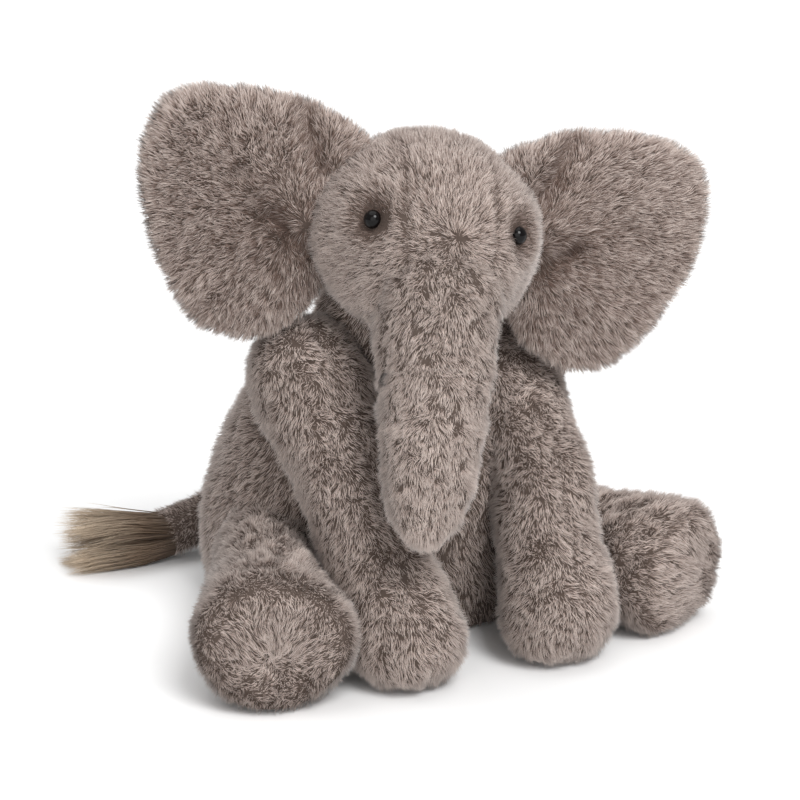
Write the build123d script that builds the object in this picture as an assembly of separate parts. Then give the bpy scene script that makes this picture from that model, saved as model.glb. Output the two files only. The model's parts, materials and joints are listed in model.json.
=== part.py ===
from build123d import *
from math import asin, cos, pi, sin
import os

os.makedirs("parts", exist_ok=True)

# A stuffed elephant sitting on the floor, in millimetres.
# It faces -Y, its own left is +X, +Z is up, and the origin is the middle of the flat seat.
# The limbs are built from balls joined by cones, the torso from a turned profile,
# and the ears from a flat outline.

# Cloth and clearances
cloth = 2.5              # backing cloth with the roots of the pile
layer_gap = 0.3          # between a cover and what fills it
joint_gap = 1.5          # between a limb's round root and the pocket it turns in
leg_gap = 2.2            # between a leg and the torso it lies against
seam_gap = 0.3           # between two panels of one cover
far = 400                # larger than the whole toy, for cutting blocks
nudges = (0, 0.05, -0.07, 0.11, -0.16)   # tried in turn when a cut grazes an edge

# Torso: a pear that leans forward
torso_base = (0, 12, 0)
torso_lean = 15.7
torso_profile = [(0, -40), (52, -34), (84, -8), (94, 30), (93, 60), (85, 90),
                 (72, 118), (55, 143), (34, 161), (16, 168), (0, 170)]
seat_bag_centre = (0, 40, 28)
seat_bag_length = 44
seat_bag_radius = 18

# Neck: a round plug of filling between the torso and the head
neck_centre = (-2, -50, 168)
neck_radius = 22

# Head, turned and tilted towards the elephant's right side
head_centre = (-6, -80, 219)
head_turn = -13
head_tilt = 8.5
head_radius = 55
head_widening = 3        # the head is this much wider than a ball on each side
centre_panel_half_width = 21

# Eyes
eye_radius = 4.75
eye_height = 3.6
eye_post_radius = 1.6
eye_post_length = 9
eye_direction = (37.3, -44.4, 12.5)
eye_sink = 0.6           # how far the cloth dimples under an eye
washer_radius = 6.5
washer_thickness = 1.2
washer_clearance = 0.5

# Trunk, in the head's own frame
trunk_root = (0, -46, -24)
trunk_middle = (-1, -80, -88)
trunk_end = (-3, -98, -128)
trunk_root_radius = 30
trunk_middle_radius = 22.5
trunk_end_radius = 15.5
trunk_flare = 20         # how much wider the mouth of its pocket gets over the flare's length
trunk_flare_length = 40

# Ears, in the head's own frame
ear_hinge_side = 60
ear_outline = [(-12, 33), (2, 50), (26, 60), (56, 61), (78, 52), (89, 30), (84, -4),
               (66, -36), (48, -54), (34, -59), (20, -52), (0, -34), (-8, -20)]
ear_middle = (38, 0)
ear_cloth = 3
ear_wadding = 3.4
ear_stitch_inset = 5
ear_head_gap = 3.2

# Front legs
shoulder = (61, -55, 147)
front_knee = (52, -100, 86)
front_paw = (44, -138, 26)
shoulder_radius = 31
front_knee_radius = 25.5
front_paw_radius = 28
paw_bag_radius = 15
paw_bag_back = 8         # how far up the leg the bag sits from the paw's centre

# Rear legs
hip = (72, -28, 41)
rear_foot = (124, -128, 33)
hip_radius = 30
rear_foot_radius = 35
sole_distance = 22       # from the foot's centre to its flat sole
sole_radius = 25
raised_feet = [(133.7, -122.3, 49.1), (141.7, -113.7, 64.9)]   # after 10 and 20 degrees of lift
foot_bag_radius = 17
foot_bag_back = 6

# Tail
tail_root = (-16, 109, 34)
tail_end = (-86, 99, 15)
tail_root_radius = 12
tail_radius = 10.5
tuft_gap = 0.4
tuft_balls = [((-102, 102, 14.5), 7.5), ((-124, 107, 14.5), 11), ((-148, 113, 13), 5.5)]


def vector(a, b):
    return Vector(*b) - Vector(*a)


def along(start, end):
    """The place of a solid whose +Z runs from start towards end."""
    return Plane(origin=start, z_dir=vector(start, end)).location


def ball(centre, radius):
    return Pos(*centre) * Sphere(radius)


def link(start, end, start_radius, end_radius):
    """Two balls joined by the cone that touches both."""
    length = vector(start, end).length
    slope = asin((start_radius - end_radius) / length)
    low = (start_radius * cos(slope), start_radius * sin(slope))
    high = (end_radius * cos(slope), length + end_radius * sin(slope))
    low_middle = (slope - pi / 2) / 2
    high_middle = (slope + pi / 2) / 2
    with BuildPart() as made:
        with BuildSketch(Plane.XZ):
            with BuildLine():
                ThreePointArc(
                    (0, -start_radius),
                    (start_radius * cos(low_middle), start_radius * sin(low_middle)),
                    low,
                )
                Line(low, high)
                ThreePointArc(
                    high,
                    (end_radius * cos(high_middle), length + end_radius * sin(high_middle)),
                    (0, length + end_radius),
                )
                Line((0, length + end_radius), (0, -start_radius))
            make_face()
        revolve(axis=Axis.Z)
    return along(start, end) * made.part


def turned(profile, inset):
    """A solid turned about +Z from (radius, height) points, made smaller by the inset all round."""
    low = profile[0][1]
    length = profile[-1][1] - low
    shrink = (length - 2 * inset) / length
    points = [(max(radius - inset, 0), low + inset + (z - low) * shrink) for radius, z in profile]
    with BuildPart() as made:
        with BuildSketch(Plane.XZ):
            with BuildLine():
                Spline(*points, tangents=[(1, 0), (-1, 0)])
                Line(points[-1], points[0])
            make_face()
        revolve(axis=Axis.Z)
    return made.part


def stuffed(balls, inset=0.0):
    """A chain of balls and cones, made smaller by the inset all round."""
    shape = None
    for (start, start_radius), (end, end_radius) in zip(balls, balls[1:]):
        piece = link(start, end, start_radius - inset, end_radius - inset)
        shape = piece if shape is None else shape + piece
    return shape


def above_floor(solid, height):
    return solid - Pos(0, 0, height - far / 2) * Box(far * 2, far * 2, far)


def on_side(point, side):
    return (side * point[0], point[1], point[2])


def one_solid(shape):
    """The largest solid of a shape, so that no sliver of a cut stays with it."""
    return max(shape.solids(), key=lambda s: s.volume)


front_leg_balls = [(shoulder, shoulder_radius), (front_knee, front_knee_radius), (front_paw, front_paw_radius)]
rear_leg_balls = [(hip, hip_radius), (rear_foot, rear_foot_radius)]


def limb(balls, side, inset):
    return stuffed([(on_side(centre, side), radius) for centre, radius in balls], inset)


def rooms(balls, side, grow):
    """The simple shapes that together keep a body clear of a limb."""
    shapes = []
    for (start, start_radius), (end, end_radius) in zip(balls, balls[1:]):
        start, end = on_side(start, side), on_side(end, side)
        length = vector(start, end).length
        cone = Cone(start_radius + grow, end_radius + grow, length)
        shapes.append(ball(start, start_radius + grow))
        shapes.append(along(start, end) * Pos(0, 0, length / 2) * cone)
    return shapes


def cut(body, *tools):
    """The body less the tools, as one solid; a cut that fails on a grazing edge is nudged aside."""
    for tool in tools:
        for nudge in nudges:
            left = (body - Pos(nudge, nudge, nudge) * tool).solids()
            if left and left.sort_by(SortBy.VOLUME)[-1].volume > body.volume * 0.6:
                break
        body = left.sort_by(SortBy.VOLUME)[-1]
    return body


def front_leg(side, inset):
    """A front leg, with its paw flattened by the floor."""
    return above_floor(limb(front_leg_balls, side, inset), inset)


def rear_leg(side, inset):
    """A rear leg, with a flat sole and its foot flattened by the floor."""
    beyond = along(on_side(rear_foot, side), on_side(hip, side))
    sole_block = beyond * Pos(0, 0, inset - sole_distance - far / 2) * Box(far, far, far)
    return above_floor(limb(rear_leg_balls, side, inset) - sole_block, inset)


head_place = Pos(*head_centre) * Rot(0, 0, head_turn) * Rot(0, head_tilt, 0)
pieces = {}


# Torso and neck --------------------------------------------------------

def torso(inset):
    """The torso with the round pockets in which the neck, legs and tail turn."""
    body = Pos(*torso_base) * Rot(torso_lean, 0, 0) * turned(torso_profile, inset)
    body = cut(body, ball(neck_centre, neck_radius + joint_gap + inset))
    body = cut(body, ball(tail_root, tail_root_radius + joint_gap + inset))
    for side in (-1, 1):
        for foot in [rear_foot] + raised_feet:
            body = cut(body, *rooms([(hip, hip_radius), (foot, rear_foot_radius)], side, leg_gap + inset))
        body = cut(body, *rooms(front_leg_balls, side, leg_gap + inset))
    return one_solid(above_floor(body, inset))


def seat_bag(grow):
    """A sausage-shaped bag of pellets that weights the seat."""
    x, y, z = seat_bag_centre
    half = seat_bag_length / 2
    radius = seat_bag_radius + grow
    return link((x - half, y, z), (x + half, y, z), radius, radius)


pieces["torso_cover"] = torso(0) - torso(cloth)
pieces["torso_filling"] = torso(cloth + layer_gap) - seat_bag(layer_gap)
pieces["seat_bean_bag"] = seat_bag(0)
pieces["neck_filling"] = ball(neck_centre, neck_radius)


# Head ------------------------------------------------------------------

def head(inset):
    """The head with the pockets of the trunk and the neck."""
    radius = head_radius - inset
    body = link((-head_widening, 0, 0), (head_widening, 0, 0), radius, radius)
    body -= ball(trunk_root, trunk_root_radius + joint_gap + inset)
    mouth_radius = trunk_root_radius + joint_gap + inset
    flare = Cone(mouth_radius, mouth_radius + trunk_flare, trunk_flare_length)
    body -= along(trunk_root, trunk_middle) * Pos(0, 0, trunk_flare_length / 2) * flare
    return head_place * body - ball(neck_centre, neck_radius + joint_gap + inset)


def eye_place(side):
    """The place of an eye on the head, with +Z pointing out of the cloth."""
    outward = Vector(*on_side(eye_direction, side)).normalized()
    centre = (side * head_widening, 0, 0)
    spot = Vector(*centre) + outward * (head_radius - eye_sink)
    return head_place * Plane(origin=spot, z_dir=outward).location


def eye(side):
    """A domed safety eye with its post."""
    curve = (eye_radius ** 2 + eye_height ** 2) / (2 * eye_height)
    dome = Pos(0, 0, eye_height - curve) * Sphere(curve)
    dome &= Pos(0, 0, eye_height) * Box(4 * eye_radius, 4 * eye_radius, 2 * eye_height)
    post = Pos(0, 0, -eye_post_length / 2) * Cylinder(eye_post_radius, eye_post_length)
    return eye_place(side) * Pos(0, 0, 2 * eye_sink) * (dome + post)


def washer(side, grow):
    """The washer that locks an eye's post inside the cover; a plain disc when it is grown."""
    disc = Cylinder(washer_radius + grow, washer_thickness + 2 * grow)
    if grow == 0:
        disc -= Cylinder(eye_post_radius + layer_gap, washer_thickness * 2)
    depth = cloth + washer_thickness / 2 + washer_clearance
    return eye_place(side) * Pos(0, 0, -depth) * disc


def eye_hole(side):
    return eye_place(side) * Cylinder(eye_post_radius + layer_gap, 8 * eye_post_radius + eye_post_length)


head_shell = head(0) - head(cloth)
head_inside = head(cloth + layer_gap)
for side in (-1, 1):
    head_shell -= eye_hole(side)
    head_shell -= washer(side, layer_gap)
    head_inside -= eye_hole(side)
    head_inside -= washer(side, layer_gap)
pieces["head_centre_panel"] = head_shell & head_place * Box(2 * centre_panel_half_width, far, far)
pieces["head_filling"] = head_inside
for name, side in (("right", -1), ("left", 1)):
    block_middle = side * (centre_panel_half_width + seam_gap + far / 2)
    pieces[f"head_cheek_{name}"] = head_shell & head_place * Pos(block_middle, 0, 0) * Box(far, far, far)
    pieces[f"eye_{name}"] = eye(side)
    pieces[f"eye_washer_{name}"] = washer(side, 0)


# Trunk -----------------------------------------------------------------

def trunk_upper(inset):
    section = link(trunk_root, trunk_middle, trunk_root_radius - inset, trunk_middle_radius - inset)
    return section - ball(trunk_middle, trunk_middle_radius + joint_gap + inset)


def trunk_lower(inset):
    return link(trunk_middle, trunk_end, trunk_middle_radius - inset, trunk_end_radius - inset)


for name, section, start in (("upper", trunk_upper, trunk_root), ("lower", trunk_lower, trunk_middle)):
    shell = section(0) - section(cloth)
    # The side seams lie in the plane through the trunk's axis and the head's own X.
    seams = Plane(origin=start, x_dir=(1, 0, 0), z_dir=vector(trunk_root, trunk_middle)).location
    offset = far / 2 + seam_gap / 2
    halves = [shell & seams * Pos(0, way * offset, 0) * Box(far, far, far) for way in (-1, 1)]
    halves.sort(key=lambda half: half.center().Y)
    pieces[f"trunk_{name}_front_panel"] = head_place * halves[0]
    pieces[f"trunk_{name}_back_panel"] = head_place * halves[1]
    pieces[f"trunk_{name}_filling"] = head_place * section(cloth + layer_gap)


# Ears ------------------------------------------------------------------

def ear_layer(side, thickness, depth, inset):
    """One flat layer of an ear; its outline runs outwards from the hinge."""
    points = []
    for out, up in ear_outline:
        reach = Vector(out - ear_middle[0], up - ear_middle[1])
        closer = reach * (1 - inset / reach.length)
        points.append((side * (ear_hinge_side + ear_middle[0] + closer.X), ear_middle[1] + closer.Y))
    with BuildPart() as made:
        with BuildSketch(Plane.XZ.offset(-depth)):
            with BuildLine():
                Spline(*points, periodic=True)
            make_face()
        extrude(amount=thickness)
    radius = head_radius + ear_head_gap + inset
    around_head = link((-head_widening, 0, 0), (head_widening, 0, 0), radius, radius)
    return head_place * one_solid(made.part - around_head)


ear_layers = {
    "front_panel": (ear_cloth, -ear_wadding / 2 - seam_gap, 0),
    "wadding": (ear_wadding, ear_wadding / 2, ear_stitch_inset),
    "back_panel": (ear_cloth, ear_wadding / 2 + seam_gap + ear_cloth, 0),
}
for name, side in (("right", -1), ("left", 1)):
    for layer, (thickness, depth, inset) in ear_layers.items():
        pieces[f"ear_{name}_{layer}"] = ear_layer(side, thickness, depth, inset)


# Legs ------------------------------------------------------------------

for name, side in (("right", -1), ("left", 1)):
    up_leg = along(on_side(front_paw, side), on_side(front_knee, side))
    paw_bag = tuple((up_leg * Pos(0, 0, paw_bag_back)).position)
    pieces[f"front_leg_{name}_cover"] = front_leg(side, 0) - front_leg(side, cloth)
    stuffing = front_leg(side, cloth + layer_gap)
    pieces[f"front_leg_{name}_filling"] = stuffing - ball(paw_bag, paw_bag_radius + layer_gap)
    pieces[f"front_paw_{name}_bean_bag"] = ball(paw_bag, paw_bag_radius)

    up_leg = along(on_side(rear_foot, side), on_side(hip, side))
    foot_bag = tuple((up_leg * Pos(0, 0, foot_bag_back)).position)
    shell = rear_leg(side, 0) - rear_leg(side, cloth)
    stuffing = rear_leg(side, cloth + layer_gap)
    sole_place = up_leg * Pos(0, 0, -sole_distance)
    pieces[f"rear_leg_{name}_cover"] = shell - sole_place * Cylinder(sole_radius + seam_gap, 3 * cloth)
    pieces[f"rear_sole_{name}"] = shell & sole_place * Cylinder(sole_radius, 3 * cloth)
    pieces[f"rear_leg_{name}_filling"] = stuffing - ball(foot_bag, foot_bag_radius + layer_gap)
    pieces[f"rear_foot_{name}_bean_bag"] = ball(foot_bag, foot_bag_radius)


# Tail ------------------------------------------------------------------

def tail(inset):
    return link(tail_root, tail_end, tail_root_radius - inset, tail_radius - inset)


pieces["tail_cover"] = tail(0) - tail(cloth)
pieces["tail_filling"] = tail(cloth + layer_gap)
pieces["tail_tuft"] = stuffed(tuft_balls) - tail(-tuft_gap)

for name, piece in pieces.items():
    solid = one_solid(piece)
    solid.label = name
    export_step(solid, f"parts/{name}.step")
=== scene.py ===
import json
import math

import bpy
import numpy as np
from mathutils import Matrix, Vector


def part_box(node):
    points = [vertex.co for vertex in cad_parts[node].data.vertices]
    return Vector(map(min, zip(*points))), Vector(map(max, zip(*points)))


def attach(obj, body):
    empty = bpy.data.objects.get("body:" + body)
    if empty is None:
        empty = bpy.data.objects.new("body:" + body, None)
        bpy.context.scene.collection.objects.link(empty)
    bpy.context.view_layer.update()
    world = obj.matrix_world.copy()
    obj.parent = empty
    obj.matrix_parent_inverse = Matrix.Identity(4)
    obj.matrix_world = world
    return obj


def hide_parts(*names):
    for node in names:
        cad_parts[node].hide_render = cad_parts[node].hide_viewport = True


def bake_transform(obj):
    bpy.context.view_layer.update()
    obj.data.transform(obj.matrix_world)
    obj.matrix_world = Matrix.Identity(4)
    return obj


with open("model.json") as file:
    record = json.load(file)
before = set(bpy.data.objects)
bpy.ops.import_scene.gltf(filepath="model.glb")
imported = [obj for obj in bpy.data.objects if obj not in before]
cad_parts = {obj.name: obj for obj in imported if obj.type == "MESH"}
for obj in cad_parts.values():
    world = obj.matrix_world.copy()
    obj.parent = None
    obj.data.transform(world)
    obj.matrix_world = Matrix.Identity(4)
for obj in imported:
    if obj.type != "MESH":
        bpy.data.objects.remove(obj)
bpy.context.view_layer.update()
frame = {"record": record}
joints = {joint["name"]: joint for joint in frame["record"]["behaviour"]["joints"]}
print("stage: frame loaded")

# Lengths are in millimetres until a mesh is made.
mm = 0.001
# A pile piece has at most pieceHairs hairs of three triangles each, and the limbs stand floorGap over the floor.
finish = {"seed": 7, "pileShare": 1.0, "pieceHairs": 65000, "floorGap": 1.2}


# the head's own directions, from the joints
def jointPoint(name):
    return np.array(joints[name]["pos_m"]) / mm


def jointAxis(name):
    axis = np.array(joints[name]["axis"], float)
    return axis / np.linalg.norm(axis)


headSide = jointAxis("head_nod")
headBack = jointAxis("trunk_swing")
headUp = jointAxis("ear_flap_right")
headCentre = (jointPoint("ear_flap_right") + jointPoint("ear_flap_left")) / 2


def fromHead(points):
    # a point of the head's own frame is the centre plus x along its side, y along its back, z along its up
    points = np.asarray(points, float)
    return headCentre + points @ np.array([headSide, headBack, headUp])


def inHead(points):
    return (points - headCentre) @ np.array([headSide, headBack, headUp]).T


# small numpy helpers
def unit(vectors):
    return vectors / np.maximum(np.linalg.norm(vectors, axis=-1, keepdims=True), 1e-9)


def through(knots, values, at):
    # a cubic curve through the values: each span is the Hermite blend of its ends and their mean slopes
    knots, values = np.asarray(knots, float), np.asarray(values, float)
    slopes = np.gradient(values, knots, axis=0)
    span = np.clip(np.searchsorted(knots, at) - 1, 0, len(knots) - 2)
    width = (knots[span + 1] - knots[span])
    t = (at - knots[span]) / width
    a, b = values[span], values[span + 1]
    shape = (-1,) + (1,) * (values.ndim - 1)
    t, width = t.reshape(shape), width.reshape(shape)
    h1 = 2 * t**3 - 3 * t**2 + 1
    h2 = t**3 - 2 * t**2 + t
    h3 = -2 * t**3 + 3 * t**2
    h4 = t**3 - t**2
    return h1 * a + h2 * width * slopes[span] + h3 * b + h4 * width * slopes[span + 1]


def waves(points, size, seed, count=9):
    # the mean of some sine waves that run in random directions, each about size long; about -1 to 1
    rng = np.random.default_rng(seed)
    ways = unit(rng.normal(size=(count, 3))) * (2 * np.pi / size) * rng.uniform(0.6, 1.5, (count, 1))
    phase = rng.uniform(0, 2 * np.pi, count)
    return np.sin(points @ ways.T + phase).sum(axis=1) / math.sqrt(count)


def bump(distance, width):
    # a bell curve: 1 at no distance, falling over the width
    return np.exp(-((distance / width) ** 2))


def fromCapsule(points, start, end, startRadius, endRadius):
    # the distance to the line from start to end, less a radius that changes along it
    start, end = np.asarray(start, float), np.asarray(end, float)
    run = end - start
    t = np.clip((points - start) @ run / (run @ run), 0, 1)
    nearest = start + t[:, None] * run
    return np.linalg.norm(points - nearest, axis=1) - (startRadius + t * (endRadius - startRadius))


# meshes
def makeMesh(name, points, triangles, uv=None, normals=None, smooth=True):
    mesh = bpy.data.meshes.new(name)
    mesh.vertices.add(len(points))
    mesh.vertices.foreach_set("co", (points * mm).astype(np.float32).ravel())
    mesh.loops.add(triangles.size)
    mesh.loops.foreach_set("vertex_index", triangles.astype(np.int32).ravel())
    mesh.polygons.add(len(triangles))
    mesh.polygons.foreach_set("loop_start", np.arange(len(triangles), dtype=np.int32) * triangles.shape[1])
    mesh.update(calc_edges=True)
    mesh.polygons.foreach_set("use_smooth", np.full(len(triangles), smooth))
    if uv is not None:
        layer = mesh.uv_layers.new(name="OFBake")
        layer.data.foreach_set("uv", uv[triangles.ravel()].astype(np.float32).ravel())
    mesh.validate()
    if normals is not None:
        mesh.normals_split_custom_set_from_vertices(normals.astype(np.float32))
    piece = bpy.data.objects.new(name, mesh)
    bpy.context.scene.collection.objects.link(piece)
    return piece


def gridFaces(rings, around):
    # the quads of a closed tube of rings, cut in triangles, with a fan on the pole at each end
    i = np.arange(rings - 1)[:, None] * around
    j = np.arange(around)[None, :]
    k = (j + 1) % around
    a, b, c, d = i + j, i + k, i + around + k, i + around + j
    sides = np.stack([np.stack([a, b, c], -1), np.stack([a, c, d], -1)], -2).reshape(-1, 3)
    first, last = rings * around, rings * around + 1
    top = (rings - 1) * around
    j, k = j.ravel(), k.ravel()
    startFan = np.stack([np.full(around, first), k, j], -1)
    endFan = np.stack([np.full(around, last), top + j, top + k], -1)
    return np.concatenate([sides, startFan, endFan])


def vertexNormals(points, triangles):
    a, b, c = (points[triangles[:, n]] for n in range(3))
    face = np.cross(b - a, c - a)
    total = np.zeros_like(points)
    for n in range(3):
        for axis in range(3):
            total[:, axis] += np.bincount(triangles[:, n], face[:, axis], len(points))
    return unit(total)


class Skin:
    # a closed surface with what its pile needs at each point: the way it lies, its length, tone and density

    def __init__(self, points, triangles, lay):
        self.points = points
        self.triangles = triangles
        self.normals = vertexNormals(points, triangles)
        middle = points.mean(axis=0)
        if ((points - middle) * self.normals).sum() < 0:
            self.triangles = triangles[:, ::-1]
            self.normals = -self.normals
        self.lay = lay
        self.length = np.ones(len(points))
        self.tone = np.zeros(len(points))
        self.density = np.ones(len(points))

    def push(self, amount):
        self.points = self.points + self.normals * amount[:, None]
        self.normals = vertexNormals(self.points, self.triangles)

    def rest(self, height):
        # flattens what is under the given height, with a soft edge 3 mm high
        z = self.points[:, 2]
        over = z - height
        self.points[:, 2] = height + np.where(over > 0, over, 0) + 0.7 * np.exp(-np.abs(over) / 3)
        self.normals = vertexNormals(self.points, self.triangles)

    def bare(self, *capsules):
        # no pile where the skin is deep inside another limb
        for start, end, startRadius, endRadius in capsules:
            inside = fromCapsule(self.points, start, end, startRadius, endRadius)
            self.density *= np.clip((inside + 6) / 4, 0, 1)


def limbSkin(path, radii, caps, side, rings=72, around=72, power=2.0, capPower=(2.0, 2.0), reach=(0.0, 1.0)):
    # a tube: centre(s) + side * width(s) * cos(a) + across * depth(s) * sin(a), for s over the given reach,
    # where both radii close to nothing over the cap lengths at the ends of the whole path,
    # and a power above 2 raises cos and sin to less than 1, which makes the ring squarer
    path, radii = np.asarray(path, float), np.asarray(radii, float)
    knots = np.concatenate([[0], np.cumsum(np.linalg.norm(np.diff(path, axis=0), axis=1))])
    total = knots[-1]
    share = (1 - np.cos(np.pi * np.linspace(0.004, 0.996, rings))) / 2
    s = total * (reach[0] + (reach[1] - reach[0]) * share)
    centre = through(knots, path, s)
    size = through(knots, radii, s)
    start = np.clip((caps[0] - s) / caps[0], 0, 1)
    end = np.clip((s - (total - caps[1])) / caps[1], 0, 1)
    closing = (1 - start ** capPower[0]) ** (1 / capPower[0]) * (1 - end ** capPower[1]) ** (1 / capPower[1])
    along = unit(np.gradient(centre, s, axis=0))
    sideways = unit(np.asarray(side, float) - (along @ np.asarray(side, float))[:, None] * along)
    across = np.cross(along, sideways)
    angle = np.linspace(0, 2 * np.pi, around, endpoint=False)
    c, n = np.cos(angle), np.sin(angle)
    c = np.sign(c) * np.abs(c) ** (2 / power)
    n = np.sign(n) * np.abs(n) ** (2 / power)
    width = (size[:, 0] * closing)[:, None, None]
    depth = (size[:, 1] * closing)[:, None, None]
    ring = sideways[:, None] * width * c[None, :, None] + across[:, None] * depth * n[None, :, None]
    grid = centre[:, None] + ring
    poles = through(knots, path, total * np.asarray(reach, float))
    points = np.concatenate([grid.reshape(-1, 3), poles])
    lay = np.gradient(grid, axis=0).reshape(-1, 3)
    lay = unit(np.concatenate([lay, along[:1], along[-1:]]))
    skin = Skin(points, gridFaces(rings, around), lay)
    skin.angle = np.concatenate([np.tile(angle, rings), [0, 0]])
    skin.s = np.concatenate([np.repeat(s, around), total * np.asarray(reach, float)])
    skin.total = total
    skin.girth = np.concatenate([np.repeat(size[:, 0] * closing, around), [0, 0]])
    return skin


def seam(skin, at, width=1.7, depth=0.35, shade=0.16):
    # a sewn line along the limb at an angle: the skin dips, and the pile is shorter and darker there
    turn = np.angle(np.exp(1j * (skin.angle - at)))
    line = bump(turn * np.maximum(skin.girth, 3), width) * (skin.girth > 4)
    skin.length *= 1 - depth * line
    skin.tone -= shade * line
    wide = bump(turn * np.maximum(skin.girth, 3), 4.5)
    skin.push(-0.9 * wide)


# pile: short tapered hairs, as real faces
pileLook = {
    "width": 0.27,
    "stand": 0.62,
    "lay": 0.8,
    "stray": 0.2,
    "swirl": 0.3,
    "clumpSize": 2.4,
    "clump": 0.34,
    "sink": 1.0,
    "long": (0.78, 1.12),
    "clumpLong": (0.88, 1.1),
    "toneSpread": 0.17,
    "clumpTone": 0.09,
}


def growPile(name, skin, count, length, seed, look=None):
    # each hair is a three-sided spike from a root on the skin to root + length * way,
    # where way is the normal and the lay mixed, swirled by waves and pulled to the tip of its clump
    look = {**pileLook, **(look or {})}
    rng = np.random.default_rng(seed)
    count = int(count * finish["pileShare"])
    corners = [skin.points[skin.triangles[:, n]] for n in range(3)]
    area = np.linalg.norm(np.cross(corners[1] - corners[0], corners[2] - corners[0]), axis=1)
    weight = area * skin.density[skin.triangles].mean(axis=1)
    face = np.sort(rng.choice(len(area), count, p=weight / weight.sum()))
    u, v = rng.random((2, count))
    flip = u + v > 1
    u, v = np.where(flip, 1 - u, u), np.where(flip, 1 - v, v)
    share = np.stack([1 - u - v, u, v], -1)
    index = skin.triangles[face]

    def onSkin(values):
        picked = values[index]
        return (picked * (share if picked.ndim == 2 else share[:, :, None])).sum(axis=1)

    root, normal, lay = onSkin(skin.points), unit(onSkin(skin.normals)), unit(onSkin(skin.lay))
    lay = unit(lay - (lay * normal).sum(axis=1)[:, None] * normal)
    long = length * onSkin(skin.length) * rng.uniform(*look["long"], count)
    tone = onSkin(skin.tone)
    swirl = np.stack([waves(root, 17, seed + n) + 0.7 * waves(root, 6.5, seed + 10 + n) for n in range(3)], -1)
    way = normal * look["stand"] + lay * look["lay"] + swirl * look["swirl"]
    way = unit(way + rng.normal(size=(count, 3)) * look["stray"])

    warp = np.stack([waves(root, 9, seed + 20 + n) for n in range(3)], -1) * 1.6
    cell = np.floor((root + warp) / look["clumpSize"]).astype(np.int64)
    cell -= cell.min(axis=0)
    size = cell.max(axis=0) + 1
    cellId = (cell[:, 0] * size[1] + cell[:, 1]) * size[2] + cell[:, 2]
    _, cellId, members = np.unique(cellId, return_inverse=True, return_counts=True)
    middle = np.stack([np.bincount(cellId, root[:, n]) for n in range(3)], -1) / members[:, None]
    heading = np.stack([np.bincount(cellId, way[:, n]) for n in range(3)], -1) / members[:, None]
    clumpTone = rng.normal(size=len(members)) * look["clumpTone"]
    clumpLength = rng.uniform(*look["clumpLong"], len(members))
    long = long * clumpLength[cellId]
    tip = root + way * long[:, None]
    clumpTip = middle[cellId] + unit(heading)[cellId] * long[:, None]
    pull = look["clump"] * rng.uniform(0.5, 1.0, (count, 1))
    tip = tip * (1 - pull) + clumpTip * pull
    tip[:, 2] = np.maximum(tip[:, 2], 0.3)

    way = unit(tip - root)
    wide = look["width"] * rng.uniform(0.75, 1.3, (count, 1)) * np.clip(long / 6, 0.6, 1.2)[:, None]
    foot = root - normal * look["sink"]
    across = unit(np.cross(way, rng.normal(size=(count, 3))))
    other = np.cross(way, across)
    hair = np.empty((count, 4, 3))
    hairNormal = np.empty((count, 4, 3))
    for n, turn in enumerate((0, 2 * math.pi / 3, 4 * math.pi / 3)):
        out = across * math.cos(turn) + other * math.sin(turn)
        hair[:, n] = foot + out * wide
        hairNormal[:, n] = unit(normal * 0.85 + out * 0.45)
    hair[:, 3] = tip
    hairNormal[:, 3] = unit(normal * 0.85 + way * 0.3)
    first = np.arange(count)[:, None] * 4
    triangles = np.concatenate([first + [0, 1, 3], first + [1, 2, 3], first + [2, 0, 3]])
    tone = 0.5 + tone + clumpTone[cellId] + rng.normal(size=count) * look["toneSpread"]
    tone = np.clip(tone, 0.02, 0.98)
    uv = np.empty((count, 4, 2))
    uv[:, :, 0] = tone[:, None] + np.array([-0.006, 0, 0.006, 0])
    uv[:, :3, 1] = 0.01
    uv[:, 3, 1] = 0.99
    piece = makeMesh(name, hair.reshape(-1, 3), triangles, uv.reshape(-1, 2), hairNormal.reshape(-1, 3))
    piece.data.materials.append(materials["pile"])
    print("stage: pile", name, count)
    return piece


# materials
class Value:
    # a socket that adds its Math nodes as it is used in an expression

    def __init__(self, maker, socket):
        self.maker = maker
        self.socket = socket

    def math(self, operation, *others, swap=False):
        inputs = [self] + list(others)
        if swap:
            inputs = inputs[::-1]
        return self.maker.node("ShaderNodeMath", {"operation": operation}, dict(enumerate(inputs)))

    def __add__(self, other):
        return self.math("ADD", other)

    def __radd__(self, other):
        return self.math("ADD", other, swap=True)

    def __mul__(self, other):
        return self.math("MULTIPLY", other)

    def __rmul__(self, other):
        return self.math("MULTIPLY", other, swap=True)


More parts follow.
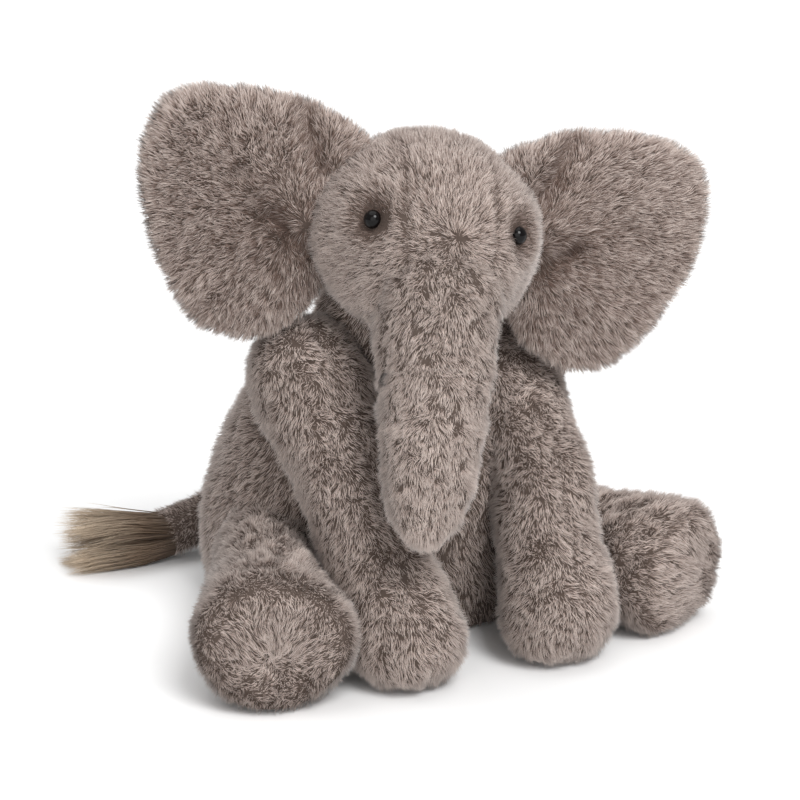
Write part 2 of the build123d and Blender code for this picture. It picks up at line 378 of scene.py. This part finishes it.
class Maker:
    # builds the nodes of one material, or of a world, one node at a time

    def __init__(self, name, blocks=bpy.data.materials):
        self.block = blocks.new(name)
        self.block.use_nodes = True
        self.tree = self.block.node_tree
        self.tree.nodes.clear()

    def node(self, kind, settings=None, inputs=None, output=0):
        made = self.tree.nodes.new(kind)
        for key, setting in (settings or {}).items():
            if key == "stops":
                ramp = made.color_ramp
                while len(ramp.elements) < len(setting):
                    ramp.elements.new(1.0)
                for element, (position, colour) in zip(ramp.elements, setting):
                    element.position = position
                    element.color = (*colour, 1)
            else:
                setattr(made, key, setting)
        for key, given in (inputs or {}).items():
            target = made.inputs[key]
            if isinstance(given, Value):
                self.tree.links.new(given.socket, target)
            elif target.type == "RGBA" and len(given) == 3:
                target.default_value = (*given, 1)
            else:
                target.default_value = given
        return Value(self, made.outputs[output]) if made.outputs else made

    def mixColour(self, factor, a, b, blend="MIX"):
        return self.node("ShaderNodeMix", {"data_type": "RGBA", "blend_type": blend}, {0: factor, 6: a, 7: b}, 2)

    def noise(self, scale, detail=3, place="Object"):
        where = self.node("ShaderNodeTexCoord", output=place)
        return self.node("ShaderNodeTexNoise", None, {"Vector": where, "Scale": scale, "Detail": detail})

    def finish(self, **inputs):
        names = {key.replace("_", " "): given for key, given in inputs.items()}
        shader = self.node("ShaderNodeBsdfPrincipled", None, names)
        self.node("ShaderNodeOutputMaterial", None, {"Surface": shader})
        return self.block


# the root-to-tip ramp is partly painted shade: the dark roots stand for the shade in the gaps between the hairs, and
# the lighter tips are the hair's own colour
pileColours = {
    "rootShadeToTip": [(0.0, (0.13, 0.093, 0.078)), (0.4, (0.46, 0.365, 0.322)), (1.0, (0.92, 0.80, 0.735))],
    "shades": [(0.0, (0.22, 0.17, 0.15)), (0.5, (0.86, 0.86, 0.86)), (1.0, (1.0, 1.0, 1.0))],
    "roughness": 0.85,
    "sheen": 0.25,
    "sheenRoughness": 0.4,
    "specular": 0.15,
}
# the tuft's root-to-tip ramp is partly painted shade: the dark roots stand for the shade inside the bunches, and the
# lighter tips are the hair's own colour
tuftColours = {
    "rootShadeToTip": [(0.0, (0.09, 0.062, 0.045)), (0.45, (0.24, 0.17, 0.12)), (1.0, (0.72, 0.6, 0.47))],
    "shades": [(0.0, (0.4, 0.36, 0.33)), (0.5, (0.85, 0.83, 0.8)), (1.0, (1.15, 1.12, 1.06))],
    "roughness": 0.42,
    "specular": 0.5,
    "stretch": 0.3,
}


def hairColour(maker, look):
    # the root-to-tip colour runs along the map's second number, its dark roots painted shade for the gaps between
    # the hairs, and it is multiplied by the shade, which runs from a dark hair to a light one along the first
    place = maker.node("ShaderNodeUVMap", {"uv_map": "OFBake"})
    tone = maker.node("ShaderNodeSeparateXYZ", None, {0: place})
    along = Value(maker, tone.socket.node.outputs[1])
    rootShadedColour = maker.node("ShaderNodeValToRGB", {"stops": look["rootShadeToTip"]}, {0: along})
    shade = maker.node("ShaderNodeValToRGB", {"stops": look["shades"]}, {0: tone})
    return maker.mixColour(1.0, rootShadedColour, shade, "MULTIPLY")


def makePile():
    look = pileColours
    maker = Maker("plushPile")
    return maker.finish(
        Base_Color=hairColour(maker, look),
        Roughness=look["roughness"],
        Sheen_Weight=look["sheen"],
        Sheen_Roughness=look["sheenRoughness"],
        Specular_IOR_Level=look["specular"],
    )


def makeShadeBacking():
    # painted shade: the backing is made dark, as the shade deep in the gaps between the hairs, so that the pile
    # looks deep
    maker = Maker("plushBacking")
    patches = maker.noise(260, 4)
    colour = maker.mixColour(patches, (0.05, 0.036, 0.03), (0.11, 0.083, 0.07))
    weave = maker.noise(900, 2)
    dent = maker.node("ShaderNodeBump", None, {"Height": weave, "Strength": 0.4, "Distance": 0.0006})
    return maker.finish(Base_Color=colour, Roughness=0.95, Normal=dent, Specular_IOR_Level=0.1)


def makeEye():
    maker = Maker("eyeGloss")
    cloud = maker.noise(350, 2)
    colour = maker.mixColour(cloud, (0.0015, 0.001, 0.001), (0.004, 0.003, 0.003))
    return maker.finish(Base_Color=colour, Roughness=cloud * 0.02 + 0.04, Specular_IOR_Level=0.2)


def makeWasher():
    maker = Maker("washerPlastic")
    cloud = maker.noise(600, 3)
    colour = maker.mixColour(cloud, (0.68, 0.68, 0.66), (0.8, 0.8, 0.78))
    return maker.finish(Base_Color=colour, Roughness=cloud * 0.15 + 0.4)


def makeBag():
    maker = Maker("pelletBag")
    where = maker.node("ShaderNodeTexCoord", output="Object")
    weave = maker.node("ShaderNodeTexVoronoi", None, {"Vector": where, "Scale": 420.0})
    colour = maker.mixColour(weave, (0.82, 0.8, 0.75), (0.66, 0.64, 0.6))
    dent = maker.node("ShaderNodeBump", None, {"Height": weave, "Strength": 0.6, "Distance": 0.001})
    return maker.finish(Base_Color=colour, Roughness=0.8, Normal=dent)


def makeTuftHair():
    look = tuftColours
    maker = Maker("tuftHair")
    return maker.finish(
        Base_Color=hairColour(maker, look),
        Roughness=look["roughness"],
        Specular_IOR_Level=look["specular"],
        Anisotropic=look["stretch"],
    )


def makeFloor():
    maker = Maker("paleFloor")
    cloud = maker.noise(3, 2)
    colour = maker.mixColour(cloud, (0.9, 0.9, 0.9), (0.93, 0.93, 0.93))
    return maker.finish(Base_Color=colour, Roughness=0.7, Specular_IOR_Level=0.2)


materials = {
    "pile": makePile(),
    "skin": makeShadeBacking(),
    "eye": makeEye(),
    "washer": makeWasher(),
    "bag": makeBag(),
    "tuft": makeTuftHair(),
    "floor": makeFloor(),
}
print("stage: materials made")


def makeStuffed(name, skin, replaced, hold, hairs, length, seed, look=None):
    # the stuffed skin and the pile on it, attached to one body, or, where it crosses a joint, only baked in place
    body = makeMesh(name, skin.points, skin.triangles)
    body.data.materials.append(materials["skin"])
    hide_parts(*replaced)
    piles = []
    parts = math.ceil(hairs / finish["pieceHairs"])
    for part in range(parts):
        label = f"{name}Pile" if parts == 1 else f"{name}Pile{part + 1}"
        piles.append(growPile(label, skin, hairs / parts, length, seed + 100 * part, look))
    for piece in [body] + piles:
        if len(hold) == 1:
            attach(piece, hold[0])
        else:
            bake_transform(piece)


# head
headLook = {"width": 58.0, "depth": 56.5, "height": 52.8, "hairs": 76000, "length": 5.2, "dimple": 3.4}
trunkSeam = (fromHead((0, -46, -24)), fromHead((-1, -80, -88)))


def middleOf(name):
    low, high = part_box(name)
    return (np.array(low) + np.array(high)) / 2 / mm


def makeHead():
    # an ellipsoid from pole to pole along its own up line: width, depth and height times sin, cos and cos again
    rings, around = 120, 160
    v = np.linspace(0, np.pi, rings + 2)[1:-1, None]
    a = np.linspace(0, 2 * np.pi, around, endpoint=False)[None, :]
    x = headLook["width"] * np.sin(v) * np.cos(a)
    y = headLook["depth"] * np.sin(v) * np.sin(a)
    z = headLook["height"] * np.cos(v) * np.ones_like(a)
    poles = [[0, 0, headLook["height"]], [0, 0, -headLook["height"]]]
    local = np.concatenate([np.stack([x, y, z], -1).reshape(-1, 3), poles])
    local[:, 0] *= 1 - 0.05 * np.clip(local[:, 2] / 54, 0, 1) ** 2
    points = fromHead(local)
    # the pile lies away from a whorl in the middle of the forehead
    skin = Skin(points, gridFaces(rings, around), unit(points - fromHead((3, -54, 9))))
    skin.push(waves(points, 48, finish["seed"]) * 0.5)
    # the cloth swells out where the trunk is sewn on
    root = fromCapsule(skin.points, *trunkSeam, 29, 21)
    skin.push(4.5 * bump(np.maximum(root, 0), 9) * (local[:, 1] < 0))
    for eye in (middleOf("eye_right"), middleOf("eye_left")):
        away = np.linalg.norm(skin.points - eye, axis=1)
        skin.push(1.6 * bump(away - 15, 7) - headLook["dimple"] * bump(away, 8))
        near = bump(away, 13)
        skin.length *= 1 - 0.55 * bump(away, 9)
        skin.tone -= 0.75 * bump(away, 9.5)
        outward = unit(skin.points - eye)
        skin.lay = unit(skin.lay + 1.8 * near[:, None] * outward)
    local = inHead(skin.points)
    # painted shade: the upper head is darkened towards the crown
    skin.tone -= 0.11 * np.clip(local[:, 2] / 30, 0, 1)
    # two seams from the crown over the forehead, between the middle panel and the cheeks
    for side in (-1, 1):
        across = local[:, 0] - side * (20 + 0.06 * local[:, 2])
        front = np.clip(-local[:, 1] / 20, 0, 1)
        line = bump(across, 1.6) * front
        skin.length *= 1 - 0.4 * line
        skin.tone -= 0.22 * line
    skin.bare(
        (*trunkSeam, 27, 20),
        ((0, -25, 140), (-5, -70, 200), 34, 34),
    )
    return skin


makeStuffed(
    "headSkin", makeHead(),
    ("head_centre_panel", "head_cheek_right", "head_cheek_left", "head_filling"), ("head",),
    headLook["hairs"], headLook["length"], 11, {"stand": 0.45, "lay": 0.9},
)
print("stage: head done")


# limbs of one another's shape, where no pile grows because it is inside another piece
shoulders = {"right": jointPoint("front_leg_lift_right"), "left": jointPoint("front_leg_lift_left")}
hips = {"right": jointPoint("rear_leg_lift_right"), "left": jointPoint("rear_leg_lift_left")}
trunkRoot = jointPoint("trunk_swing")
trunkMiddle = jointPoint("trunk_curl")
torsoShape = [((0, 5, 35), (0, -22, 105), 84, 66), ((0, -22, 105), (-2, -50, 165), 66, 34)]
headShape = [(headCentre, headCentre + headUp, 52, 52)]


# trunk
# The path's points and the bend's end are in the head's own frame.
trunkLook = {
    "hairs": 32000, "length": 5.2, "handover": 0.47, "paintedLight": 0.13, "caps": (30, 17), "bendEnd": (-3, -98, -128),
    "path": [(-0.5, -63, -56), (-1, -80, -88), (-2, -90, -110), (-3, -97, -126), (-3, -100, -137)],
    "radii": [(29, 29), (30, 29), (27.5, 26), (24, 22.5), (21, 19.5), (16, 15.5), (14.5, 14.5)],
}


def makeTrunk(reach):
    ahead = unit(trunkMiddle - trunkRoot)
    path = [trunkRoot - ahead * 28, trunkRoot] + list(fromHead(trunkLook["path"]))
    skin = limbSkin(
        path, trunkLook["radii"], trunkLook["caps"], headSide, rings=84, around=96, power=2.15, reach=reach,
    )
    skin.push(waves(skin.points, 30, finish["seed"] + 1) * 0.7)
    for side in (0.10, math.pi - 0.10):
        seam(skin, side, width=2.0, depth=0.4, shade=0.2)
    # painted light: the trunk is lightened down its length, as if more light fell on it
    skin.tone += trunkLook["paintedLight"] * np.clip((skin.s - 30) / 60, 0, 1)
    skin.bare(*headShape)
    return skin


handover = trunkLook["handover"]
makeStuffed(
    "trunkUpperSkin", makeTrunk((0.0, handover)),
    ("trunk_upper_front_panel", "trunk_upper_back_panel", "trunk_upper_filling"), ("trunk_upper",),
    trunkLook["hairs"] * 0.8, trunkLook["length"], 21, {"stand": 0.45, "lay": 0.9},
)
trunkStart = trunkMiddle - unit(trunkMiddle - trunkRoot) * 6
trunkEnd = trunkMiddle + unit(fromHead(trunkLook["bendEnd"]) - trunkMiddle) * 20
makeStuffed(
    "trunkLowerSkin", makeTrunk((handover, 1.0)),
    ("trunk_lower_front_panel", "trunk_lower_back_panel", "trunk_lower_filling"),
    ("trunk_upper", "trunk_lower", trunkStart, trunkEnd),
    trunkLook["hairs"], trunkLook["length"], 22, {"stand": 0.45, "lay": 0.9},
)
print("stage: trunk done")


# ears
earLook = {"thickness": 5.5, "cup": 6.0, "crease": 5.0, "hairs": 60000, "length": 6.0, "rim": 1.3}
earOutline = np.array([
    (-28, 40), (-14, 50), (4, 57), (28, 60), (56, 60), (77, 52), (86, 30), (81, -4),
    (65, -37), (48, -55), (33, -60), (16, -57), (-2, -46), (-11, -28), (-16, 6),
], float)
earCreases = [((11, 56), (-1, 26)), ((19, 0), (1, -13))]


def makeEar(side):
    # a flat pad: from the middle of its front, over the rim, to the middle of its back;
    # each ring is the outline drawn in towards the middle by sin(v), and the thickness is cos(v)
    rings, around = 84, 150
    rim = np.concatenate([earOutline, earOutline[:1]])
    knots = np.concatenate([[0], np.cumsum(np.linalg.norm(np.diff(rim, axis=0), axis=1))])
    wrapKnots = np.concatenate([knots[-3:-1] - knots[-1], knots, knots[1:3] + knots[-1]])
    wrapRim = np.concatenate([rim[-3:-1], rim, rim[1:3]])
    outline = through(wrapKnots, wrapRim, np.linspace(0, knots[-1], around, endpoint=False))
    v = np.pi * (0.5 + 0.5 * np.linspace(-0.995, 0.995, rings))
    inwards = np.sin(v) ** 0.75
    thick = -np.sign(np.cos(v)) * np.abs(np.cos(v)) ** 0.7
    middle = np.array([36.0, 0.0])
    flat = middle + (outline[None] - middle) * inwards[:, None, None]
    out, up = flat[..., 0].ravel(), flat[..., 1].ravel()
    out, up = np.append(out, [36, 36]), np.append(up, [0, 0])
    depth = np.append(np.repeat(thick, around), [thick[0], thick[-1]]) * earLook["thickness"]
    inside = np.append(np.repeat(inwards, around), [0, 0])
    place = np.stack([out, up], -1)
    bend = earLook["cup"] * bump(np.linalg.norm(place - [32, 4], axis=1), 42)
    groove = np.zeros(len(out))
    for start, end in earCreases:
        line = fromCapsule(np.column_stack([place, place[:, 0] * 0]), (*start, 0), (*end, 0), 0, 0)
        groove += bump(line, 5.5)
    y = depth + bend + earLook["crease"] * groove
    x = side * (60 + out)
    points = fromHead(np.column_stack([x, y, up]))
    radial = place - [2, -2]
    lay = radial[:, :1] * headSide * side + radial[:, 1:] * headUp
    skin = Skin(points, gridFaces(rings, around), unit(lay))
    skin.push(waves(points, 34, finish["seed"] + 2 + side) * 0.6)
    edge = np.clip((inside - 0.8) / 0.2, 0, 1) ** 2
    skin.length *= 1 + (earLook["rim"] - 1) * edge * np.clip((out + 5) / 30, 0, 1)
    front = depth < 0
    root = bump(np.linalg.norm(place - [6, -4], axis=1), 48)
    # painted light and shade: the rim is lightened where light catches it, the whole ear is darkened, and the front
    # is darkened near the root and in the creases, where shade falls
    skin.tone += 0.1 * edge - 0.17 - front * (0.16 * root + 0.25 * groove)
    skin.bare(*headShape)
    return skin


for side, name in ((-1, "right"), (1, "left")):
    makeStuffed(
        f"{name}EarSkin", makeEar(side),
        [f"ear_{name}_{layer}" for layer in ("front_panel", "wadding", "back_panel")],
        ("head", f"ear_{name}", fromHead((side * 42, 0, 0)), fromHead((side * 70, 0, 0))),
        earLook["hairs"], earLook["length"], 31 + side,
        {"lay": 0.85, "swirl": 0.22, "clump": 0.26},
    )
print("stage: ears done")


# torso and neck
torsoLook = {"hairs": 64000, "length": 5.6}
torsoBase = np.array([0.0, 12.0, 0.0])
torsoLean = math.radians(15.7)
torsoProfile = np.array([
    (0, -40), (52, -34), (84, -8), (93, 30), (92, 60), (86, 90),
    (76, 118), (61, 143), (38, 161), (16, 168), (0, 170),
], float)


def makeTorso():
    # a turned pear: base + axis * height(t) + radius(t) * (side * cos(a) + front * sin(a))
    rings, around = 110, 150
    knots = np.concatenate([[0], np.cumsum(np.linalg.norm(np.diff(torsoProfile, axis=0), axis=1))])
    t = np.linspace(0, knots[-1], rings + 2)[1:-1]
    profile = through(knots, torsoProfile, t)
    radius, height = profile[:, 0, None, None], profile[:, 1, None, None]
    axis = np.array([0, -math.sin(torsoLean), math.cos(torsoLean)])
    front = np.array([0, math.cos(torsoLean), math.sin(torsoLean)])
    a = np.linspace(0, 2 * np.pi, around, endpoint=False)[None, :, None]
    ring = np.array([1.0, 0, 0]) * np.cos(a) + front * np.sin(a)
    grid = torsoBase + axis * height + radius * ring
    poles = [torsoBase + axis * torsoProfile[0, 1], torsoBase + axis * torsoProfile[-1, 1]]
    points = np.concatenate([grid.reshape(-1, 3), poles])
    skin = Skin(points, gridFaces(rings, around), np.tile([0, 0, -1.0], (len(points), 1)))
    skin.push(waves(points, 55, finish["seed"] + 5) * 1.4)
    # the cloth swells out where the front legs are sewn on
    for shoulder in shoulders.values():
        knee = np.array([shoulder[0] * 0.85, -100, 86])
        away = fromCapsule(skin.points, shoulder, knee, 29, 25)
        skin.push(5 * bump(np.maximum(away, 0), 10))
    skin.rest(finish["floorGap"])
    skin.bare(
        *headShape,
        *[(shoulders[name], shoulders[name] + [0, -1, 0], 28, 28) for name in shoulders],
        *[(hips[name], hips[name] + [0, -20, 0], 27, 27) for name in hips],
    )
    # little pile underneath
    skin.density *= np.clip((skin.points[:, 2] - 2) / 6, 0.05, 1)
    return skin


makeStuffed(
    "torsoSkin", makeTorso(), ("torso_cover", "torso_filling"), ("torso",),
    torsoLook["hairs"], torsoLook["length"], 41,
)
neckLook = {
    "hairs": 8000, "length": 5.6,
    "path": [(0, -14, 128), (0, -30, 150), (-3, -55, 180), (-5, -70, 205)],
    "radii": [(44, 40), (47, 42), (45, 40), (38, 34)],
}


def makeNeck():
    skin = limbSkin(neckLook["path"], neckLook["radii"], (12, 12), (1, 0, 0), rings=50)
    skin.lay = -skin.lay
    skin.bare(*headShape, *torsoShape)
    return skin


makeStuffed(
    "neckSkin", makeNeck(), ("neck_filling",), ("neck",), neckLook["hairs"], neckLook["length"], 45,
)
print("stage: torso done")


# front legs
frontLook = {
    "hairs": 47000, "length": 5.4, "caps": (30, 27),
    "shoulders": {-1: (-62, -54, 146), 1: (53, -50, 136)},
    "knee": (52, -100, 86), "paw": (44, -138, 26),
    "radii": [(29, 29), (30.5, 30.5), (28, 27.5), (26, 25.5), (26.5, 25.5), (28.5, 28), (27, 27)],
}


def makeFrontLeg(side):
    shoulder = np.array(frontLook["shoulders"][side], float)
    knee = np.array(frontLook["knee"], float) * [side, 1, 1]
    paw = np.array(frontLook["paw"], float) * [side, 1, 1]
    top, ahead = unit(knee - shoulder), unit(paw - knee)
    path = [shoulder - top * 29, shoulder, (shoulder + knee) / 2, knee, (knee + paw) / 2, paw, paw + ahead * 27]
    skin = limbSkin(
        path, frontLook["radii"], frontLook["caps"], (1, 0, 0), rings=96, around=84, capPower=(2.0, 2.3),
    )
    skin.push(waves(skin.points, 40, finish["seed"] + 7 + side) * 1.0)
    seam(skin, math.pi / 2, width=1.6, depth=0.3, shade=0.1)
    skin.rest(finish["floorGap"])
    skin.bare(*torsoShape)
    skin.density *= np.clip((skin.points[:, 2] - 1.5) / 4, 0.1, 1)
    # painted light: the front legs are lightened all over, as if more light fell on them
    skin.tone += 0.06
    return skin


for side, name in ((-1, "right"), (1, "left")):
    makeStuffed(
        f"{name}FrontLegSkin", makeFrontLeg(side),
        (f"front_leg_{name}_cover", f"front_leg_{name}_filling", f"front_paw_{name}_bean_bag"),
        (f"front_leg_{name}",),
        frontLook["hairs"], frontLook["length"], 51 + side,
    )
print("stage: front legs done")


# rear legs
rearLook = {
    "hairs": 47000, "length": 5.4, "caps": (30, 17), "hip": (72, -28, 41),
    "feet": {-1: (-114, -132, 34), 1: (117, -117, 34)},
    "radii": [(28, 28), (30, 30), (30, 29), (35, 32), (39.5, 34.5), (36, 33)],
}


def makeRearLeg(side):
    hip = np.array(rearLook["hip"], float) * [side, 1, 1]
    foot = np.array(rearLook["feet"][side], float)
    ahead = unit(foot - hip)
    level = np.cross(ahead, [0, 0, 1])
    path = [hip - ahead * 28, hip, hip + ahead * 45, hip + ahead * 82, foot, foot + ahead * 23]
    skin = limbSkin(
        path, rearLook["radii"], rearLook["caps"], level, rings=96, around=90, capPower=(2.0, 2.8),
    )
    skin.push(waves(skin.points, 42, finish["seed"] + 9 + side) * 1.1)
    # the round seam of the sole
    sole = bump(skin.s - (skin.total - 10), 1.8)
    skin.rest(finish["floorGap"])
    skin.bare(*torsoShape)
    skin.density *= np.clip((skin.points[:, 2] - 1.5) / 4, 0.1, 1)
    skin.tone -= 0.16 * sole
    skin.length *= 1 - 0.3 * sole
    return skin


for side, name in ((-1, "right"), (1, "left")):
    makeStuffed(
        f"{name}RearLegSkin", makeRearLeg(side),
        [f"rear_{part}" for part in (
            f"leg_{name}_cover", f"leg_{name}_filling", f"sole_{name}", f"foot_{name}_bean_bag",
        )], (f"rear_leg_{name}",),
        rearLook["hairs"], rearLook["length"], 61 + side,
    )
print("stage: rear legs done")


# tail
tailRoot = jointPoint("tail_swing")
tailTip = np.array([-92.0, 98.5, 15.0])
tailLook = {"hairs": 9000, "length": 4.4, "caps": (10, 5), "radii": [(13, 13), (14, 14), (13.5, 13.5), (13, 13)]}


def makeTail():
    ahead = unit(tailTip - tailRoot)
    path = [tailRoot - ahead * 10, tailRoot, (tailRoot + tailTip) / 2 + [0, 1, -1], tailTip]
    skin = limbSkin(path, tailLook["radii"], tailLook["caps"], (0, 0, 1), rings=60, around=48)
    skin.push(waves(skin.points, 20, finish["seed"] + 12) * 0.4)
    skin.bare(*torsoShape)
    return skin


makeStuffed(
    "tailSkin", makeTail(), ("tail_cover", "tail_filling"), ("tail",),
    tailLook["hairs"], tailLook["length"], 71,
)

tuftLook = {"hairs": 3900, "length": 62.0, "rings": 8, "width": 0.24, "wave": 2.6, "bunches": 14}


def makeTuft():
    # long hairs: each is root + heading * t, bowed by sin(wave * t + phase) and drooping as t squared,
    # with three-sided rings whose radius falls to a point at the tip
    look = tuftLook
    rng = np.random.default_rng(finish["seed"] + 13)
    count, rings = int(look["hairs"] * max(finish["pileShare"], 0.7)), look["rings"]
    ahead = unit(np.array([-1.0, 0.12, 0.0]))
    level = unit(np.cross(ahead, [0, 0, 1]))
    up = np.cross(level, ahead)
    frameWays = np.array([ahead, level, up])
    spin = rng.uniform(0, 2 * np.pi, count)
    far = np.sqrt(rng.uniform(0, 1, count)) * 12.0
    across = np.stack([far * np.cos(spin), far * np.sin(spin)], -1)
    bunches = look["bunches"]
    bunchAcross = rng.normal(size=(bunches, 2)) * [6.5, 8.0]
    bunch = np.argmin(((across[:, None] - bunchAcross[None] * 0.8) ** 2).sum(-1) + rng.uniform(0, 30, (count, 1)), 1)
    spread = bunchAcross * 0.018
    heading = spread[bunch] - across * 0.004 + rng.normal(size=(count, 2)) * 0.03
    long = look["length"] * rng.uniform(0.62, 1.08, count)
    t = np.linspace(0, 1, rings + 1)
    phase = rng.uniform(0, 2 * np.pi, (bunches, 2))[bunch] + rng.normal(size=(count, 2)) * 0.35
    bow = rng.uniform(0.6, 1.2, (bunches, 2))[bunch] * look["wave"]
    shift = np.empty((count, rings + 1, 3))
    shift[..., 0] = long[:, None] * t
    for n in range(2):
        swing = np.sin(4.6 * t + phase[:, n : n + 1]) - np.sin(phase[:, n : n + 1])
        shift[..., n + 1] = across[:, n : n + 1] * (1 + 0.15 * t) + heading[:, n : n + 1] * long[:, None] * t
        shift[..., n + 1] += swing * bow[:, n : n + 1] * t
    shift[..., 2] -= 5.0 * t**2
    centre = tailTip - ahead * 7 + shift @ frameWays
    centre[..., 2] = np.maximum(centre[..., 2], 0.9 + 0.5 * rng.random((count, 1)))
    way = unit(np.gradient(centre, axis=1))
    side = unit(np.cross(way, [0.1, 0.2, 1.0]))
    over = np.cross(way, side)
    thick = look["width"] * np.clip(1.02 - t**2.2, 0.03, 1)[None, :, None] * rng.uniform(0.8, 1.3, (count, 1, 1))
    rim = [side * math.cos(a) + over * math.sin(a) for a in (0.5, 0.5 + 2 * math.pi / 3, 0.5 + 4 * math.pi / 3)]
    points = np.stack([centre + out * thick for out in rim], axis=2)
    normals = np.stack(rim, axis=2)
    first = (np.arange(count) * (rings + 1) * 3)[:, None, None]
    step = (np.arange(rings) * 3)[None, :, None]
    corner = np.arange(3)[None, None, :]
    following = (corner + 1) % 3
    a, b = first + step + corner, first + step + following
    quads = np.stack([a, b, b + 3, a + 3], -1).reshape(-1, 4)
    triangles = np.concatenate([quads[:, :3], quads[:, [0, 2, 3]]])
    tone = np.clip(0.5 + rng.normal(size=bunches)[bunch] * 0.12 + rng.normal(size=count) * 0.16, 0.02, 0.98)
    uv = np.empty((count, rings + 1, 3, 2))
    uv[..., 0] = tone[:, None, None] + np.array([-0.005, 0, 0.005])
    uv[..., 1] = 0.01 + 0.98 * t[None, :, None]
    piece = makeMesh("tailTuft", points.reshape(-1, 3), triangles, uv.reshape(-1, 2), normals.reshape(-1, 3))
    piece.data.materials.append(materials["tuft"])
    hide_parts("tail_tuft")
    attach(piece, "tail")


makeTuft()
print("stage: tail done")


# the pieces kept from the frame
finishes = {
    "eye_right": "eye", "eye_left": "eye", "eye_washer_right": "washer", "eye_washer_left": "washer",
    "seat_bean_bag": "bag",
}
for node, kind in finishes.items():
    kept = bpy.data.objects[node]
    for slot in kept.material_slots:
        slot.material = materials[kind]
    if not kept.material_slots:
        kept.data.materials.append(materials[kind])


# floor, light and camera
studio = {"floor": 40.0, "world": 0.44, "backdrop": 0.6, "key": 2.4, "fill": 1.1, "top": 0.9}


def makeFloorPlane():
    half = studio["floor"] / mm
    points = np.array([[-half, -half, 0], [half, -half, 0], [half, half, 0], [-half, half, 0]], float)
    plane = makeMesh("floor", points, np.array([[0, 1, 2], [0, 2, 3]]), smooth=False)
    plane.data.materials.append(materials["floor"])


def makeLamp(name, aim, spread, power):
    # parallel light with a wide angle, so that its shadows are soft and the floor is evenly lit
    lamp = bpy.data.objects.new(name, bpy.data.lights.new(name, "SUN"))
    lamp.data.angle = math.radians(spread)
    lamp.data.energy = power
    lamp.rotation_euler = toTurn(unit(np.array(aim, float)))
    bpy.context.scene.collection.objects.link(lamp)


def toTurn(aim):
    # the turn that points a lamp's or a camera's -Z along the aim, with its top upwards
    level = math.hypot(aim[0], aim[1])
    return (math.atan2(level, -aim[2]), 0, math.atan2(-aim[0], aim[1]))


makeFloorPlane()
makeLamp("keyLight", (-0.05, 0.95, -1.0), 28, studio["key"])
makeLamp("fillLight", (0.45, 0.9, -0.25), 60, studio["fill"])
makeLamp("topLight", (0.05, -0.1, -1.0), 60, studio["top"])


def makeWorld():
    # even white air, which looks brighter where it is seen directly than it lights the toy
    maker = Maker("studioAir", bpy.data.worlds)
    seen = maker.node("ShaderNodeLightPath", output="Is Camera Ray")
    strength = seen * studio["backdrop"] + studio["world"]
    air = maker.node("ShaderNodeBackground", None, {"Color": (1, 1, 1), "Strength": strength})
    maker.node("ShaderNodeOutputWorld", None, {"Surface": air})
    bpy.context.scene.world = maker.block


makeWorld()
bpy.context.scene.view_settings.view_transform = "Standard"

cameraLook = {"azimuth": -25, "elevation": 15, "distance": 1.3, "target": (0.008, -0.020, 0.115), "lens": 106.4}


def makeCamera():
    look = cameraLook
    azimuth, elevation = math.radians(look["azimuth"]), math.radians(look["elevation"])
    back = np.array([
        math.sin(azimuth) * math.cos(elevation),
        -math.cos(azimuth) * math.cos(elevation),
        math.sin(elevation),
    ])
    camera = bpy.data.objects.new("camera", bpy.data.cameras.new("camera"))
    camera.data.lens = look["lens"]
    camera.data.sensor_width = 36
    camera.location = np.array(look["target"]) + back * look["distance"]
    camera.rotation_euler = toTurn(-back)
    bpy.context.scene.collection.objects.link(camera)
    bpy.context.scene.camera = camera


makeCamera()
print("stage: studio done")
